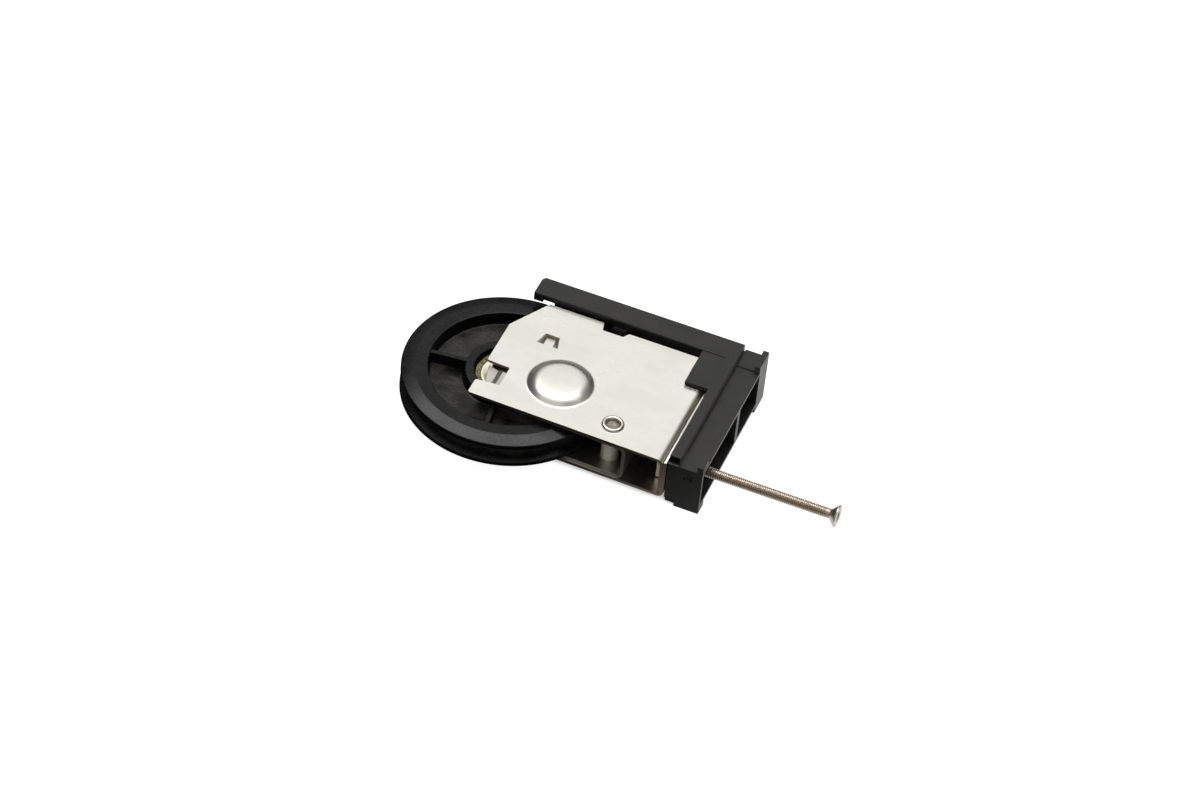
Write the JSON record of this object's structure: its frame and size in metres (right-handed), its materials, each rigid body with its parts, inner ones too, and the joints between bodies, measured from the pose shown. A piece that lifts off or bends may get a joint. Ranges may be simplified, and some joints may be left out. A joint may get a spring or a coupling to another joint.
{
  "type": "sliding door roller",
  "caption": "Adjustable roller for a sliding door: one grooved wheel on a ball bearing in a riveted steel box, which rocks in a moulded guide as a long screw turns.",
  "frame": {"origin": "centre of the wheel, where its axis crosses the middle plane of the groove", "axes": "+Z along the wheel's axis, +X along the housing towards the adjusting screw, +Y from the track side to the guide arm"},
  "size_m": [0.1675, 0.0827, 0.0222],
  "materials": {
    "black_plastic": "moulded, satin",
    "wheel_plastic": "moulded, satin",
    "plate_steel": "bright satin",
    "rivet_steel": "rolled, bright",
    "race_steel": "turned, faint yellow",
    "ball_steel": "polished",
    "cage_plastic": "moulded, natural",
    "shield_steel": "pressed, bright",
    "screw_nickel": "nickel plated"
  },
  "bodies": {
    "frame": {"guide_frame": "black_plastic"},
    "carriage": {"upper_side_plate": "plate_steel", "lower_side_plate": "plate_steel", "wheel_yoke": "plate_steel", "tubular_rivet": "rivet_steel", "axle": "rivet_steel", "axle_spacer_upper": "rivet_steel", "axle_spacer_lower": "rivet_steel", "bearing_inner_race": "race_steel"},
    "wheel": {"wheel": "wheel_plastic", "bearing_outer_race": "race_steel", "bearing_shield_upper": "shield_steel", "bearing_shield_lower": "shield_steel"},
    "ball_cage": {"bearing_balls": "ball_steel", "bearing_cage": "cage_plastic"},
    "screw": {"adjusting_screw": "screw_nickel"},
    "nut": {"adjusting_nut": "screw_nickel"}
  },
  "joints": [
    {"name": "height_swing", "type": "hinge", "parent": "frame", "child": "carriage", "pos_m": [0.0625, 0.027, 0], "axis": [0, 0, 1], "range_deg": [-4, 0]},
    {"name": "wheel_spin", "type": "hinge", "parent": "carriage", "child": "wheel", "pos_m": [0, 0, 0], "axis": [0, 0, 1], "continuous": true},
    {"name": "cage_spin", "type": "hinge", "parent": "carriage", "child": "ball_cage", "pos_m": [0, 0, 0], "axis": [0, 0, 1], "continuous": true},
    {"name": "screw_turn", "type": "hinge", "parent": "frame", "child": "screw", "pos_m": [0.082, -0.0103, 0], "axis": [1, 0, 0], "range_deg": [0, 1495]},
    {"name": "nut_slide", "type": "slide", "parent": "frame", "child": "nut", "axis": [1, 0, 0], "range_m": [-0.0029, 0]}
  ],
  "couplings": [
    {"joint": "screw_turn", "follows": "height_swing", "ratio": -372.5},
    {"joint": "nut_slide", "follows": "height_swing", "m_per_rad": 0.0415},
    {"joint": "cage_spin", "follows": "wheel_spin", "ratio": 0.632}
  ]
}
